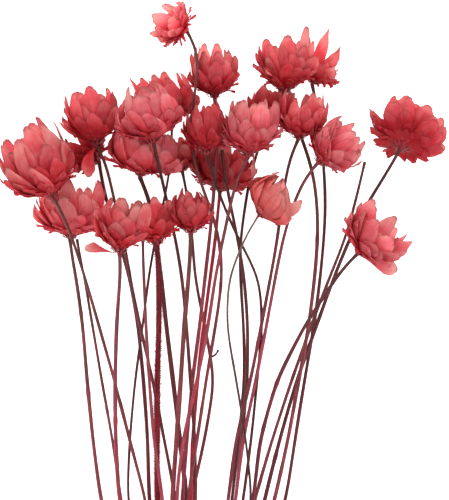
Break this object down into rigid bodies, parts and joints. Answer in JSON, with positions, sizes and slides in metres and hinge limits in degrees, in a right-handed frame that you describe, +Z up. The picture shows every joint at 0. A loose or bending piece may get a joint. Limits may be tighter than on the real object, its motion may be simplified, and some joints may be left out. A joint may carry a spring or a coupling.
{
  "type": "dried daisy bunch",
  "caption": "Tied bunch of dyed dried daisies lying on its side, with papery coral red heads on thin wiry stems that fan out from a twine tie.",
  "frame": {"origin": "centre of the bounding box at the level of the table that the bunch lies on", "axes": "+Y from the cut ends to the heads, +X to the right with the heads away, +Z up from the table"},
  "size_m": [0.15, 0.295, 0.0472],
  "materials": {
    "petals_coral": "dyed dry papery petals, matt",
    "petals_pink": "dyed dry papery petals, matt, paler",
    "petals_deep": "dyed dry papery petals, matt, deep red",
    "petals_salmon": "dyed dry papery petals, matt, salmon",
    "stem_brown": "dry dark brown stem, ribbed",
    "stem_wine": "dry wine red stem, ribbed",
    "stem_red": "dry bright red stem",
    "stem_grey": "dry thin grey stem",
    "twine": "natural jute twine"
  },
  "bodies": {
    "root": {"bloom_01": "petals_pink", "bloom_02": "petals_coral", "bloom_03": "petals_coral", "bloom_04": "petals_coral", "bloom_05": "petals_coral", "bloom_06": "petals_pink", "bloom_07": "petals_pink", "bloom_08": "petals_deep", "bloom_09": "petals_pink", "bloom_10": "petals_coral", "bloom_11": "petals_pink", "bloom_12": "petals_coral", "bloom_13": "petals_coral", "bloom_14": "petals_pink", "bloom_15": "petals_deep", "bloom_16": "petals_coral", "bloom_17": "petals_deep", "bloom_18": "petals_deep", "bloom_19": "petals_salmon", "bloom_20": "petals_pink", "bloom_21": "petals_coral", "bloom_22": "petals_deep", "bloom_23": "petals_coral", "bloom_24": "petals_coral", "stem_01": "stem_brown", "stem_02": "stem_wine", "stem_03": "stem_brown", "stem_04": "stem_brown", "stem_05": "stem_brown", "stem_06": "stem_brown", "stem_07": "stem_brown", "stem_08": "stem_brown", "stem_09": "stem_wine", "stem_10": "stem_wine", "stem_11": "stem_wine", "stem_12": "stem_brown", "stem_13": "stem_brown", "stem_14": "stem_brown", "stem_15": "stem_wine", "stem_16": "stem_wine", "stem_17": "stem_brown", "stem_18": "stem_red", "stem_19": "stem_grey", "stem_20": "stem_wine", "stem_21": "stem_brown", "stem_22": "stem_brown", "stem_23": "stem_brown", "stem_24": "stem_red", "bare_stem_1": "stem_brown", "bare_stem_2": "stem_brown", "bare_stem_3": "stem_brown", "bare_stem_4": "stem_wine", "tie": "twine"}
  },
  "joints": []
}
